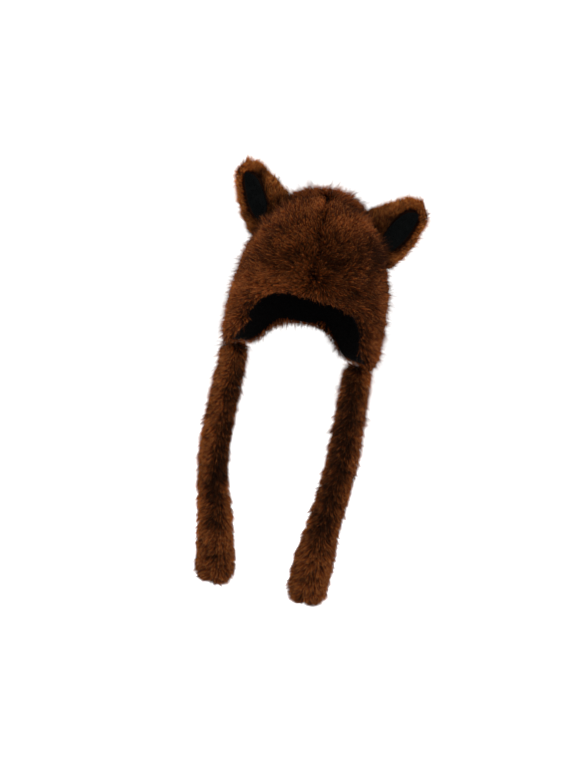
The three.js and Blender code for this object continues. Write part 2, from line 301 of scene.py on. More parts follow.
def backingMaterial(name, look):
    # the soft backing under the hairs: a fine grain over broad clouds
    material, start, shader = newMaterial(name)
    place = start.node("TexCoord", {}, {}, output=3)
    fine, broad = [
        start.node("TexNoise", {}, {"Vector": place, "Scale": look[name], "Detail": look[name + "Detail"]})
        for name in ("grain", "clouds")
    ]
    tone = fine * look["grainShare"] + broad * look["cloudsShare"]
    plug(tone.mix(linear(*look["dark"]), linear(*look["light"])), shader, "Base Color")
    plug(look["roughness"] + broad * look["cloudGloss"], shader, "Roughness")
    bump = start.node("Bump", {}, {"Height": fine, "Strength": look["relief"], "Distance": look["depth"]})
    plug(bump, shader, "Normal")
    shader.inputs["Sheen Weight"].default_value = look["sheen"]
    shader.inputs["Sheen Roughness"].default_value = look["sheenRoughness"]
    shader.inputs["Sheen Tint"].default_value = look["sheenTint"]
    shader.inputs["Specular IOR Level"].default_value = look["specular"]
    return material


# Hair

ribbon = {  # what the hairs of every coat share
    "lengths": (0.75, 1.1), "pulls": (0.5, 1.15),  # the range of the lengths, and of how far hairs gather
    "strayPull": 0.2, "loosePull": 0.3,  # how much a stray hair and a loose one still gather
    "bendPull": 0.4,  # how much of that the bend of a hair follows
    "across": 0.2,  # keeps a direction for the width of a hair that stands straight up
    "strayWidth": 0.6,
    "guardFull": 0.15, "guardLeast": 0.35,  # in fur darker than the first, guard hairs lighten less
    "tones": (0.03, 0.96),  # the darkest and the lightest hair
    "places": (0.02, 0.5, 0.98),  # root, bend and tip on the hairs' map
    "stripe": 0.006,  # how wide a hair is on that map, so that it can be baked
    "looseRoot": 0.6,  # how far up that map a loose hair starts
}


def scatterRoots(piece, count, seed, keep=None):
    # even random places on a mesh, with its smooth normals; keep tells which triangles grow hair
    points = vertexArray(piece.data)
    normals = normalArray(piece.data)
    corners = triangleArray(piece.data)
    a, b, c = points[corners[:, 0]], points[corners[:, 1]], points[corners[:, 2]]
    facing = np.cross(b - a, c - a)
    area = np.linalg.norm(facing, axis=1) / 2
    if keep is not None:
        area = area * keep((a + b + c) / 3, unit(facing))
    random = np.random.default_rng(seed)
    ladder = np.cumsum(area)
    picks = (np.arange(count) + random.random(count)) / count * ladder[-1]
    face = np.minimum(np.searchsorted(ladder, picks), len(area) - 1)
    first, second = np.sqrt(random.random(count)), random.random(count)
    share = np.stack([1 - first, first * (1 - second), first * second], 1)[:, :, None]
    chosen = corners[face]
    return (points[chosen] * share).sum(1), unit((normals[chosen] * share).sum(1))


def nearestLeader(roots, leaders):
    tree = pointTree(roots[leaders])
    return leaders[[tree.find(point)[1] for point in roots.tolist()]]


def shapeHairs(random, roots, normals, lay, coat, reach, lower, loose):
    # the five corners of each hair, which hair leads its tuft, and which are stray or guard hairs
    count = len(roots)
    lay = along(lay, normals)
    across = np.cross(normals, lay)
    swing = np.radians(random.normal(0, coat["swing"], (count, 1)))
    lay = np.cos(swing) * lay + np.sin(swing) * across
    lift = np.radians(coat["lift"] - lower[:, None] + random.normal(0, coat["liftSpread"], (count, 1)))
    droop = lift - np.radians(coat["droop"])
    tuftCount = max(int(count / coat["tuftHairs"]), 1)
    leader = nearestLeader(roots, random.choice(count, tuftCount, replace=False))
    stray = random.random(count) < coat["strayShare"]
    guard = random.random(count) < coat["guardShare"]
    length = coat["length"] * reach * random.uniform(*ribbon["lengths"], count)
    length *= np.where(stray, coat["strayLength"], 1)
    length *= random.uniform(1 - coat["tuftLength"], 1 + coat["tuftLength"], count)[leader]
    half = length[:, None] / 2
    bend = roots + half * (np.cos(lift) * lay + np.sin(lift) * normals)
    tip = bend + half * (np.cos(droop) * lay + np.sin(droop) * normals)
    pull = coat["gather"] * random.uniform(*ribbon["pulls"], count)
    pull = (pull * np.where(stray, ribbon["strayPull"], between(1, ribbon["loosePull"], loose)))[:, None]
    tip = tip + (tip[leader] - tip) * pull
    bend = bend + (bend[leader] - bend) * pull * ribbon["bendPull"]
    turn = random.uniform(-1, 1, (count, 1)) * math.radians(coat["turn"])
    run = unit(tip - roots)
    flat = unit(np.cross(run, normals) + ribbon["across"] * across)
    flat = np.cos(turn) * flat + np.sin(turn) * np.cross(run, flat)
    wide = coat["width"] / 2 * np.where(stray, ribbon["strayWidth"], 1)
    wide = wide * np.where(guard, coat["guardWidth"], 1)
    side = flat * wide[:, None]
    bendSide = side * coat["taper"]
    corners = np.stack([roots - side, roots + side, bend - bendSide, bend + bendSide, tip], 1)
    return corners, leader, stray, guard


def toneHairs(random, coat, tone, leader, stray, guard):
    count = len(tone)
    tone = tone + random.normal(0, coat["tuftTone"], count)[leader]
    tone = tone + random.normal(0, coat["toneSpread"], count)
    guardTone = coat["guardTone"] * np.clip(tone / ribbon["guardFull"], ribbon["guardLeast"], 1)
    return np.clip(tone + guardTone * guard + coat["strayTone"] * stray, *ribbon["tones"])


def growHair(name, roots, normals, lay, coat, seed, material, reach=1.0, tone=0.5, lower=0.0, loose=0.0):
    # Every hair is a narrow ribbon of three triangles, bent once and pointed. Hairs of a tuft lean
    # together and share a length and a tone. lower is how many degrees flatter a hair lies, and a
    # loose hair keeps out of its tuft and has no dark root.
    random = np.random.default_rng(seed)
    count = len(roots)
    reach, tone, lower, loose = (np.broadcast_to(value, count) for value in (reach, tone, lower, loose))
    corners, leader, stray, guard = shapeHairs(random, roots, normals, lay, coat, reach, lower, loose)
    tone = toneHairs(random, coat, tone, leader, stray, guard)
    triangles = np.array([[0, 1, 3], [0, 3, 2], [2, 3, 4]])
    faces = (np.arange(count)[:, None, None] * 5 + triangles).reshape(-1, 3)
    mesh = bpy.data.meshes.new(name)
    mesh.from_pydata(corners.reshape(-1, 3), [], faces)
    distance = np.array(ribbon["places"])[[0, 0, 1, 1, 2]]
    maps = np.empty((count, 5, 2))
    maps[:, :, 0] = distance + ribbon["looseRoot"] * loose[:, None] * (1 - distance)
    maps[:, :, 1] = tone[:, None] + ribbon["stripe"] * np.array([0, 1, 0, 1, 0.5])
    layer = mesh.uv_layers.new(name=hairMap)
    layer.data.foreach_set("uv", maps[:, triangles.reshape(-1)].astype(np.float32).reshape(-1))
    mesh.shade_smooth()
    piece = bpy.data.objects.new(name, mesh)
    bpy.context.scene.collection.objects.link(piece)
    piece.data.materials.append(material)
    return piece


def settle(piece, node=None):
    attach(piece, "root")
    if node:
        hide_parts(node)


# Camera, floor and light

view = {
    "away": 2.69,  # from the camera to the middle of the picture
    "lens": 90, "sensor": 36,
    "height": 5.5, "roll": 11.0,  # degrees: above the hat's level, and how far the hat leans to the right
    "target": (-0.005, 0.0, -0.262),
}


def placeCamera(view):
    height, roll = math.radians(view["height"]), math.radians(view["roll"])
    back = Vector((0, -math.cos(height), math.sin(height)))
    upright = Vector((0, math.sin(height), math.cos(height)))
    right = Vector((1, 0, 0))
    up = upright * math.cos(roll) - right * math.sin(roll)
    camera = bpy.data.objects.new("camera", bpy.data.cameras.new("camera"))
    camera.data.lens = view["lens"]
    camera.data.sensor_width = view["sensor"]
    turned = Matrix((up.cross(back), up, back)).transposed().to_4x4()
    camera.matrix_world = Matrix.Translation(Vector(view["target"]) + back * view["away"]) @ turned
    bpy.context.scene.collection.objects.link(camera)
    bpy.context.scene.camera = camera


studio = {
    "floor": -0.66, "floorSize": 30.0,
    "paper": ((246, 246, 246), (250, 250, 250)), "paperClouds": 2.0, "paperRoughness": 0.9,
    "world": 1.12,
    "lamps": [  # place, aim, size in metres, power in watts
        ("key", (-1.1, -1.7, 1.2), (0, 0, -0.15), 1.2, 70),
        ("fill", (1.5, -1.6, 0.3), (0, 0, -0.25), 1.5, 30),
        ("top", (0.0, 0.5, 1.6), (0, 0, -0.1), 1.0, 50),
    ],
}


def layFloor(studio):
    bpy.ops.object.select_all(action="DESELECT")
    bpy.ops.mesh.primitive_plane_add(size=studio["floorSize"], location=(0, 0, studio["floor"]))
    floor = bpy.context.object
    floor.name = "floor"
    bpy.ops.object.transform_apply(location=True)
    paper, start, shader = newMaterial("floor_paper")
    place = start.node("TexCoord", {}, {}, output=3)
    cloud = start.node("TexNoise", {}, {"Vector": place, "Scale": studio["paperClouds"]})
    plug(cloud.mix(*[linear(*colour) for colour in studio["paper"]]), shader, "Base Color")
    shader.inputs["Roughness"].default_value = studio["paperRoughness"]
    floor.data.materials.append(paper)


def hangLamps(studio):
    for name, place, aim, size, power in studio["lamps"]:
        lamp = bpy.data.objects.new(name, bpy.data.lights.new(name, "AREA"))
        lamp.data.energy = power
        lamp.data.size = size
        lamp.location = place
        lamp.rotation_mode = "QUATERNION"
        lamp.rotation_quaternion = (Vector(place) - Vector(aim)).to_track_quat("Z", "Y")
        bpy.context.scene.collection.objects.link(lamp)
    world = bpy.data.worlds.new("studio")
    world.use_nodes = True
    glow = world.node_tree.nodes["Background"]
    glow.inputs["Color"].default_value = (1, 1, 1, 1)
    glow.inputs["Strength"].default_value = studio["world"]
    bpy.context.scene.world = world
    bpy.context.scene.view_settings.view_transform = "Standard"


placeCamera(view)
layFloor(studio)
hangLamps(studio)
print("camera, floor and lamps are in place")


# Finishes

# the near-black roots are painted shade deep in the fur, and the pale tips of the light hairs are partly
# painted sheen
brownHair = {
    # place along the hair, colour of a dark hair, colour of a light hair
    "stops": [
        (0.0, (1, 1, 0), (5, 2, 1)),
        (0.4, (4, 2, 1), (24, 9, 2)),
        (0.72, (16, 5, 1), (110, 48, 13)),
        (1.0, (30, 11, 3), (177, 112, 61)),
    ],
    "roughness": 0.55, "tipGloss": 0.05, "specular": 0.025,
}
earBrown = dict(brownHair, stops=brownHair["stops"][:2] + [
    (0.72, (18, 6, 1), (120, 55, 15)),
    (1.0, (38, 15, 4), (222, 151, 82)),
])
# its pale, yellowish tips are partly painted sheen
tieBrown = dict(brownHair, stops=brownHair["stops"][:2] + [
    (0.72, (16, 5, 1), (111, 52, 16)),
    (1.0, (30, 11, 3), (192, 128, 74)),
])
blackNap = {
    "stops": [
        (0.0, (1, 1, 1), (2, 2, 2)),
        (0.5, (1, 1, 1), (5, 6, 6)),
        (1.0, (2, 2, 2), (15, 17, 18)),
    ],
    "roughness": 0.6, "tipGloss": 0.05, "specular": 0.03,
}
brownBacking = {
    "dark": (10, 4, 1), "light": (26, 10, 4),
    "grain": 900, "grainDetail": 2.0, "grainShare": 0.6, "relief": 0.4, "depth": 0.6 * mm,
    "clouds": 75, "cloudsDetail": 3.0, "cloudsShare": 0.5, "cloudGloss": 0.08,
    "roughness": 0.9, "specular": 0.03,
    "sheen": 0.0, "sheenRoughness": 0.35, "sheenTint": (1, 1, 1, 1),
}
plushBacking = dict(
    brownBacking, dark=(1, 1, 1), light=(5, 4, 4), relief=0.7, sheen=0.01, sheenTint=(0.9, 0.7, 0.6, 1))
velvetBacking = dict(
    brownBacking, dark=(1, 2, 2), light=(5, 6, 6), relief=0.5, sheen=0.015, sheenTint=(0.6, 0.8, 0.9, 1))

crownHair = hairMaterial("brown_crown_hair", brownHair)
earHair = hairMaterial("brown_ear_hair", earBrown)
tieHair = hairMaterial("brown_tie_hair", tieBrown)
napHair = hairMaterial("black_plush_nap", blackNap)
underfur = backingMaterial("brown_underfur", brownBacking)
plush = backingMaterial("black_plush", plushBacking)
velvet = backingMaterial("black_velvet", velvetBacking)


# Crown: three pelts over the lining, whose hairs part at the brow

crown = {
    "panels": {
        "crown_front_left": {"hairs": 60000, "side": -1, "mate": "crown_front_right"},
        "crown_front_right": {"hairs": 60000, "side": 1, "mate": "crown_front_left"},
        "crown_back": {"hairs": 54000},
    },
    "seeds": {"roots": 11, "folds": 17, "tone": 31, "length": 37, "hairs": 41, "wander": 43},
    "clear": 0.3 * mm,  # from the lining to the pelt
    "skin": 4.4 * mm,  # thickness of the pelt with its underfur
    "bare": 1.6 * mm,  # the side of a pelt that is nearer to the lining has no hair
    "hearth": Vector((0, 0, -0.120)),  # inside the hollow, behind every wall
    # how the hairs lie
    "whorl": Vector((0.004, -0.100, -0.104)),  # those of the front lie away from here
    "parting": 0.85, "partingReach": 11 * mm,  # how strongly they part along the seam over the brow
    "backLay": (0, 0.15, -1.0), "backOut": 0.4,  # those of the back hang, and turn outwards by this much
    "wander": 0.52, "wanderSize": 15 * mm,  # how much their direction changes from place to place
    # length and tone, and how much both change from place to place
    "lengthRipple": 0.08, "lengthSize": 12 * mm,
    "tone": 0.14, "toneRipple": 0.07, "toneSize": 22 * mm,
    # painted light on the sides, from the lamps at either side
    "sideFacing": (0.6, 1.0), "sideLight": 0.26,  # the hairs of the sides are lighter
    # the seam over the brow, darkened with painted shade where the hairs meet, and from which heights it
    # shows
    "seamReach": (0, 4 * mm), "seamLength": 0.25, "seamShade": 0.2, "seamHeights": (-0.120, -0.070),
    # the seam from ear to ear lies in a valley: the back's fur behind it, and the front's before it, are
    # shorter there and darkened with painted shade
    "valleyReach": (1 * mm, 13 * mm), "valleyLength": 0.5, "valleyShade": 0.2,
    "crestReach": (1 * mm, 24 * mm), "crestLength": 0.35, "crestShade": (3 * mm, 9 * mm),
    # the top of the front is smoother, and the hump of the back is fluffier and lighter where it faces up:
    # painted light from above
    "smoothHeights": (-0.105, -0.070), "smoothFacing": (0.3, 0.8), "smoothLength": 0.72,
    "humpHeights": (-0.045, -0.020), "humpFacing": (0.5, 0.9), "humpLength": 1.35, "humpLight": 0.25,
    "backTone": 0.1,
    # near the ears the crown's fur is shorter, and darker with painted shade
    "earReach": (2 * mm, 20 * mm), "earLength": 0.55, "earShade": 0.4,
    # the rim: its fringe hangs below the heights of rimTop, that many degrees flatter, and on the rim's
    # underside that many degrees steeper
    "rimBelow": -0.110, "rimFacing": -0.6, "rimReach": 12 * mm, "rimTop": (-0.150, -0.130),
    "rimLower": 30, "rimLift": 25, "fringeOut": 0.3, "rimShorter": 0.4, "rimLongerLeft": 0.5,
    # its underside, where the back has denser fur without dark roots
    "underFrom": -0.25, "underFacing": (0.15, 0.6), "underLength": 0.6, "underTone": 0.1,
    "napeDensity": 1.8, "foldedLength": 0.6,
    # from there outward the front rim belongs to the ear flaps
    "flap": (0.036, 0.056),
    # where the front's pelt turns inwards its hairs are shorter: by how much, more on the right flap and
    # less on the left one
    "turned": (0.1, 0.5), "turnedShorter": 0.65, "turnedRight": 0.3, "turnedLeft": 0.1,
    # where the fur of the right flap and that of the brow stay off the rim, how far round and how much;
    # a core above 1 spreads the full effect round the middle of such a place
    "trimCore": 1.6,
    "trims": [
        (0.070, -0.151, 0.014, 0.9),
        (-0.017, -0.130, 0.012, 0.45),
    ],
    # where the fringe of the nape hangs lower, how far round and how much
    "hangs": [
        (-0.030, 0.026, 0.65),
        (0.054, 0.011, 0.9),
    ],
    # the nape's fur folded over the rim: how high, and round which places how much higher
    "turnIn": {"tries": 18000, "inFacing": 0.1, "high": 1.5 * mm, "folds": [
        (-0.036, 0.022, 5 * mm),
        (0.028, 0.013, 9 * mm),
        (0.050, 0.014, 5 * mm),
        (-0.056, 0.018, 6 * mm),
    ]},
}
crownCoat = {
    "length": 12 * mm, "width": 0.55 * mm, "taper": 0.8,
    "lift": 57, "liftSpread": 10, "droop": 10, "swing": 13, "turn": 80,
    "tuftHairs": 8, "gather": 0.65, "tuftTone": 0.13, "tuftLength": 0.18, "toneSpread": 0.2,
    "strayShare": 0.1, "strayLength": 1.8, "strayTone": 0.1,
    "guardShare": 0.11, "guardTone": 0.6, "guardWidth": 1.8,  # the long light hairs
}
# painted light and shade, with some of the fur's own lighter and darker patches
frontLightAndShade = [  # lighter and darker places, as blotches reads them
    (-54, -119, 34, 12, 0.28),
    (-34, -17, 26, 16, 0.08),
    (-52, -62, 14, 8, -0.12),
    (-74, -107, 24, 20, -0.2),
    (-23, -100, 12, 10, -0.1),
    (-22, -67, 20, 12, 0.24),
    (-63, -22, 8, 6, -0.3),
    (-87, -45, 12, 15, -0.75),
    (-55, -138, 16, 12, 0.36),
    (-80, -206, 14, 8, -0.1),
    (-2, -130, 13, 12, 0.38),
    (-2, -16, 10, 14, 0.25),
    (18, -34, 12, 10, 0.2),
    (50, -23, 20, 13, 0.2),
    (35, -32, 20, 10, 0.1),
    (38, -14, 14, 5, -0.5),
    (56, -21, 10, 5, -0.4),
    (14, -1, 14, 4, 0.2),
    (36, -2, 14, 4, 0.15),
    (60, -33, 16, 8, 0.22),
    (24, -80, 26, 13, -0.42),
    (28, -111, 14, 12, 0.22),
    (66, -66, 18, 26, -0.22),
    (58, -77, 11, 9, 0.25),
    (80, -69, 12, 16, -0.42),
    (92, -48, 10, 14, -0.45),
    (50, -118, 26, 14, -0.32),
    (36, -138, 16, 8, 0.15),
    (75, -130, 10, 16, -0.1),
    (82, -160, 14, 24, -0.18),
    (94, -190, 16, 30, 0.04),
    (-97, -181, 18, 26, 0.16),
]
# painted shade by the valley on the right
backShade = [
    (45, -6, 24, 14, -0.2),
]

hearth = np.array(crown["hearth"])
liningTree = treeOf("lining")
earTrees = [treeOf("ear_left"), treeOf("ear_right")]
crownTrees = {node: treeOf(node) for node in crown["panels"]}
rimPlaces = np.array([
    face.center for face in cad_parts["lining"].data.polygons
    if face.normal.z < crown["rimFacing"] and face.center.z < crown["rimBelow"]
])
rimTree = pointTree(rimPlaces)


def nearRim(points, reach):
    # 1 up to a third of the reach from the rim, 0 from the whole of it
    away = np.array([rimTree.find(point)[2] for point in points.tolist()])
    return 1 - ease(reach / 3, reach, away)


def outerFaces(piece, outFacing=0.15):
    # the faces of the lining's outside, without the rim's
    chosen = set()
    for face in piece.data.polygons:
        outward = (face.center - crown["hearth"]).normalized()
        if face.normal.dot(outward) > outFacing and face.normal.z > crown["rimFacing"]:
            chosen.add(face.index)
    return chosen


def makeCrownPelt(node):
    # the part of the lining's outside that lies nearest to this panel, with a thickness of its own
    pelt = copyOf("lining", node + "_pelt")
    outside = outerFaces(pelt)
    leftOut = []
    for face in pelt.data.polygons:
        spot = face.center + face.normal * mm
        away = {panel: tree.find_nearest(spot)[3] for panel, tree in crownTrees.items()}
        leftOut.append(face.index not in outside or away[node] > min(away.values()))
    selectFaces(pelt, leftOut)
    bpy.ops.mesh.delete(type="FACE")
    bpy.ops.mesh.select_all(action="SELECT")
    bpy.ops.mesh.tris_convert_to_quads()
    bpy.ops.transform.shrink_fatten(value=crown["clear"])
    bpy.ops.object.mode_set(mode="OBJECT")
    finishWith(pelt, "SOLIDIFY", thickness=crown["skin"], offset=1.0, use_even_offset=True)
    finishWith(pelt, "SUBSURF", levels=1, render_levels=1)
    dress(pelt, underfur)
    return pelt


def rootsOnCrown(node, pelt, seed):
    # on the pelt's outside and its rim, which is denser at the nape, but not inside the ears
    def grows(centres, facing):
        rim = (facing[:, 2] < crown["underFrom"]) & (centres[:, 2] < crown["rimBelow"])
        nape = rim & (centres[:, 1] > 0)
        outer = distanceTo(liningTree, centres + facing * mm) > crown["bare"]
        return (rim | outer) * np.where(nape, crown["napeDensity"], 1)

    roots, normals = scatterRoots(pelt, crown["panels"][node]["hairs"], seed, grows)
    buried = isInside(earTrees[0], roots) | isInside(earTrees[1], roots)
    return roots[~buried], normals[~buried]


def turnedIn(seed):
    # places on the lining's inside just above the rim of the nape, where its fur is folded over
    fold = crown["turnIn"]
    rim = rimPlaces[rimPlaces[:, 1] > 0]
    bearing = np.arctan2(rim[:, 0], rim[:, 1])
    order = np.argsort(bearing)

    def inside(centres, facing):
        nape = (centres[:, 1] > 0) & (centres[:, 2] < crown["rimBelow"])
        return (dot(facing, unit(centres - hearth))[:, 0] < fold["inFacing"]) & nape

    roots = scatterRoots(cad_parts["lining"], fold["tries"], seed, inside)[0]
    above = roots[:, 2] - np.interp(np.arctan2(roots[:, 0], roots[:, 1]), bearing[order], rim[order, 2])
    roots = roots[above < fold["high"] + bumps(roots[:, 0], fold["folds"])]
    return roots, unit((hearth - roots) * [1, 1, 0])


def styleFront(panel, roots, normals, outward, byRim):
    # the direction, length and tone of a front half's hairs
    toMate = distanceTo(crownTrees[panel["mate"]], roots)
    toBack = distanceTo(crownTrees["crown_back"], roots)
    lay = unit(roots - np.array(crown["whorl"]))
    lay[:, 0] += panel["side"] * crown["parting"] * np.exp(-toMate / crown["partingReach"])
    seam = fade(crown["seamReach"], toMate) * ease(*crown["seamHeights"], roots[:, 2])
    crest = fade(crown["crestReach"], toBack)
    smooth = ease(*crown["smoothHeights"], roots[:, 2]) * ease(*crown["smoothFacing"], -normals[:, 1])
    turned = fade(crown["turned"], dot(normals, outward)[:, 0]) * (roots[:, 2] < crown["rimBelow"])
    right = ease(*crown["flap"], roots[:, 0])
    left = ease(*crown["flap"], -roots[:, 0])
    turned = turned * (crown["turnedShorter"] + crown["turnedRight"] * right - crown["turnedLeft"] * left)
    reach = between(1, crown["seamLength"], seam) * between(1, crown["crestLength"], crest)
    reach = reach * between(1, crown["smoothLength"], smooth) * (1 - turned)
    reach = reach * (1 - crown["rimShorter"] * byRim * (1 - crown["rimLongerLeft"] * left))
    for across, up, spread, less in crown["trims"]:
        there = np.exp(-((roots[:, 0] - across) ** 2 + (roots[:, 2] - up) ** 2) / spread ** 2)
        reach = reach * (1 - less * np.clip(crown["trimCore"] * there, 0, 1) * byRim)
    shade = fade(crown["crestShade"], toBack)
    tone = blotches(roots, frontLightAndShade) - crown["seamShade"] * seam - crown["valleyShade"] * shade
    return lay, reach, tone


def styleBack(roots, normals, outward, under, folded):
    # the direction, length and tone of the back's hairs
    toFronts = [distanceTo(crownTrees["crown_front_" + side], roots) for side in ("left", "right")]
    valley = fade(crown["valleyReach"], np.min(toFronts, 0))
    hump = ease(*crown["humpHeights"], roots[:, 2]) * ease(*crown["humpFacing"], normals[:, 2])
    lay = np.array(crown["backLay"]) + crown["backOut"] * outward
    reach = between(1, crown["valleyLength"], valley) * between(1, crown["humpLength"], hump)
    reach = reach * between(1, crown["underLength"], under) * np.where(folded, crown["foldedLength"], 1)
    reach = reach * (1 + bumps(roots[:, 0], crown["hangs"]) * under)
    tone = crown["backTone"] + crown["underTone"] * np.maximum(under, folded) + crown["humpLight"] * hump
    tone = tone + blotches(roots, backShade) - crown["valleyShade"] * valley
    return lay, reach, tone


def hangFringe(roots, normals, lay, outward, hanging):
    # the lay wanders from place to place, and near the rim it hangs, outwards on the right flap
    wander = crown["wander"] * ripples(roots, crown["wanderSize"], crown["seeds"]["wander"])
    lay = lay + wander[:, None] * np.cross(normals, unit(lay))
    flap = ease(*crown["flap"], roots[:, 0]) * (roots[:, 1] < 0)
    down = straightDown + crown["fringeOut"] * outward + np.outer(flap, [1.0, 0, 0])
    return unit(lay) * (1 - hanging[:, None]) + down * hanging[:, None]


def growCrown():
    seeds = crown["seeds"]
    for index, (node, panel) in enumerate(crown["panels"].items()):
        pelt = makeCrownPelt(node)
        roots, normals = rootsOnCrown(node, pelt, seeds["roots"] + index)
        folded = np.zeros(len(roots), bool)
        back = node == "crown_back"
        if back:
            more, facing = turnedIn(seeds["folds"])
            roots, normals = np.concatenate([roots, more]), np.concatenate([normals, facing])
            folded = np.concatenate([folded, np.ones(len(more), bool)])
        outward = unit(roots - hearth)
        under = ease(*crown["underFacing"], -normals[:, 2]) * (roots[:, 2] < crown["rimBelow"])
        byRim = nearRim(roots, crown["rimReach"])
        hanging = byRim * fade(crown["rimTop"], roots[:, 2])
        if back:
            lay, reach, tone = styleBack(roots, normals, outward, under, folded)
        else:
            lay, reach, tone = styleFront(panel, roots, normals, outward, byRim)
        byEar = fade(crown["earReach"], np.minimum(*[distanceTo(tree, roots) for tree in earTrees]))
        reach = reach * between(1, crown["earLength"], byEar)
        reach = reach * (1 + crown["lengthRipple"] * ripples(roots, crown["lengthSize"], seeds["length"]))
        tone = tone + crown["tone"] + crown["toneRipple"] * ripples(roots, crown["toneSize"], seeds["tone"])
        tone = tone + crown["sideLight"] * ease(*crown["sideFacing"], np.abs(normals[:, 0]))
        tone = tone - crown["earShade"] * byEar
        lay = hangFringe(roots, normals, lay, outward, hanging)
        lower = hanging * (crown["rimLower"] * (1 - under) - crown["rimLift"] * under)
        loose = np.maximum(under, folded) if back else 0.0
        hair = growHair(
            node + "_hair", roots, normals, lay, crownCoat, seeds["hairs"] + index, crownHair,
            reach, tone, lower, loose)
        settle(pelt, node)
        settle(hair)
        print(node, "has", len(roots), "hairs")


growCrown()


# Ears and ties: stuffed pieces, whose pelts are the solids drawn in and smoothed

def makeStuffedPelt(node, pad):
    pelt = copyOf(node, node + "_pelt")
    finishWith(pelt, "REMESH", mode="VOXEL", voxel_size=pad["voxel"])
    finishWith(pelt, "SMOOTH", iterations=pad["smooth"])
    finishWith(pelt, "DISPLACE", strength=-pad["sink"], mid_level=0.0)
    finishWith(pelt, "SMOOTH", iterations=pad["smoothSunk"])
    dress(pelt, underfur)
    return pelt


ears = {
    "pad": {"voxel": 2.5 * mm, "smooth": 8, "sink": 3.2 * mm, "smoothSunk": 4},
    "fill": 0.5,
    "hairs": 22000,
    "seeds": {"roots": 61, "tone": 67, "hairs": 71},
    # how far each leans out, how much painted shade darkens its inner edge, which faces the crown, and
    # lighter and darker places, mostly painted light and shade
    "sides": {
        "left": {"side": -1, "lean": 39, "inner": 0.05, "tones": [
            (-62, -62, 12, 10, -0.15),
            (-92, -34, 11, 14, -0.9),
            (-96, 3, 7, 16, -0.6),
            (-91, -8, 6, 10, -0.3),
            (-72, 8, 12, 18, -0.15),
            (-117, 8, 7, 20, 0.5),
            (-119, 22, 9, 10, 0.4),
        ]},
        "right": {"side": 1, "lean": 44, "inner": 0.12, "tones": [
            (84, -14, 8, 7, -0.3),
            (116, -42, 10, 12, -0.25),
            (102, -45, 13, 13, -0.6),
            (91, -17, 9, 8, -0.45),
            (127, 5, 7, 7, -0.2),
            (78, 5, 14, 8, 0.3),
        ]},
    },
    "dish": 9 * mm, "bare": 6 * mm,  # no hair grows under the black panel or that near to the lining
    # how much the hairs lie outwards and up, low down and at the tip, and between which heights above
    # the panel's middle that changes
    "outwards": (0.7, 1.5), "upwards": (0.8, 0.4), "tip": (0.0, 0.055),
    "tone": 0.5, "tipTone": 0.5, "toneRipple": 0.06, "toneSize": 12 * mm,
    "edge": (4 * mm, 16 * mm), "edgeTone": 0.27,  # the outer edge is lighter
    # painted shade low down beside the panel, where the ear meets the crown, and round the black panel
    "low": (-0.040, -0.018), "lowEdge": (6 * mm, 16 * mm), "lowShade": 0.4,  # the rest is darker low down,
    "baseReach": (3 * mm, 20 * mm), "baseShade": 0.55,  # and the fur near the crown
    "panelReach": (3 * mm, 9 * mm), "panelShade": 0.2,  # and near the panel, where it is also shorter
    "reach": 0.85, "tipShorter": 0.1, "panelShorter": 0.25,
}
earCoat = dict(
    crownCoat, length=14 * mm, width=0.6 * mm, lift=27, droop=8, swing=10,
    tuftHairs=7, gather=0.4, tuftTone=0.14, guardShare=0.12, guardTone=0.3, guardWidth=1.2,
    strayShare=0.2, strayLength=1.5,
)


def growEars():
    seeds = ears["seeds"]
    for index, (name, ear) in enumerate(ears["sides"].items()):
        node = "ear_" + name
        pelt = makeStuffedPelt(node, ears["pad"])
        panelTree = treeOf("ear_panel_" + name)
        bodyTree = crownTrees["crown_front_" + name]
        low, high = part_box("ear_panel_" + name)
        middle = np.array((low + high) / 2)
        lean = math.radians(ear["lean"]) * ear["side"]
        up = np.array([math.sin(lean), 0, math.cos(lean)])
        out = np.array([up[2] * ear["side"], 0, -abs(up[0])])

        def clearOfDish(centres, facing):
            covered = isUnder(panelTree, centres, facing, ears["dish"])
            return ~covered & (distanceTo(liningTree, centres) > ears["bare"])

        roots, normals = scatterRoots(pelt, ears["hairs"], seeds["roots"] + index, clearOfDish)
        height = (roots - middle) @ up
        sideways = (roots - middle) @ out
        tip = ease(*ears["tip"], height)
        lay = unit(roots - (middle + height[:, None] * up)) * between(*ears["outwards"], tip)[:, None]
        lay = lay + np.outer(between(*ears["upwards"], tip), up)
        shadowByCrown = fade(ears["baseReach"], distanceTo(bodyTree, roots))
        byPanel = fade(ears["panelReach"], distanceTo(panelTree, roots))
        shadeLowDown = fade(ears["low"], height) * fade(ears["lowEdge"], sideways)
        tone = ears["tone"] + ears["tipTone"] * tip - ears["lowShade"] * shadeLowDown
        tone = tone + ears["edgeTone"] * ease(*ears["edge"], sideways)
        tone = tone - ear["inner"] * ease(*ears["edge"], -sideways)
        tone = tone - ears["baseShade"] * shadowByCrown - ears["panelShade"] * byPanel + blotches(roots, ear["tones"])
        tone = tone + ears["toneRipple"] * ripples(roots, ears["toneSize"], seeds["tone"])
        reach = ears["reach"] - ears["tipShorter"] * tip - ears["panelShorter"] * byPanel
        hair = growHair(
            node + "_hair", roots, normals, lay, earCoat, seeds["hairs"] + index, earHair, reach, tone)
        settle(pelt, node)
        settle(hair)
        print(node, "has", len(roots), "hairs")


growEars()

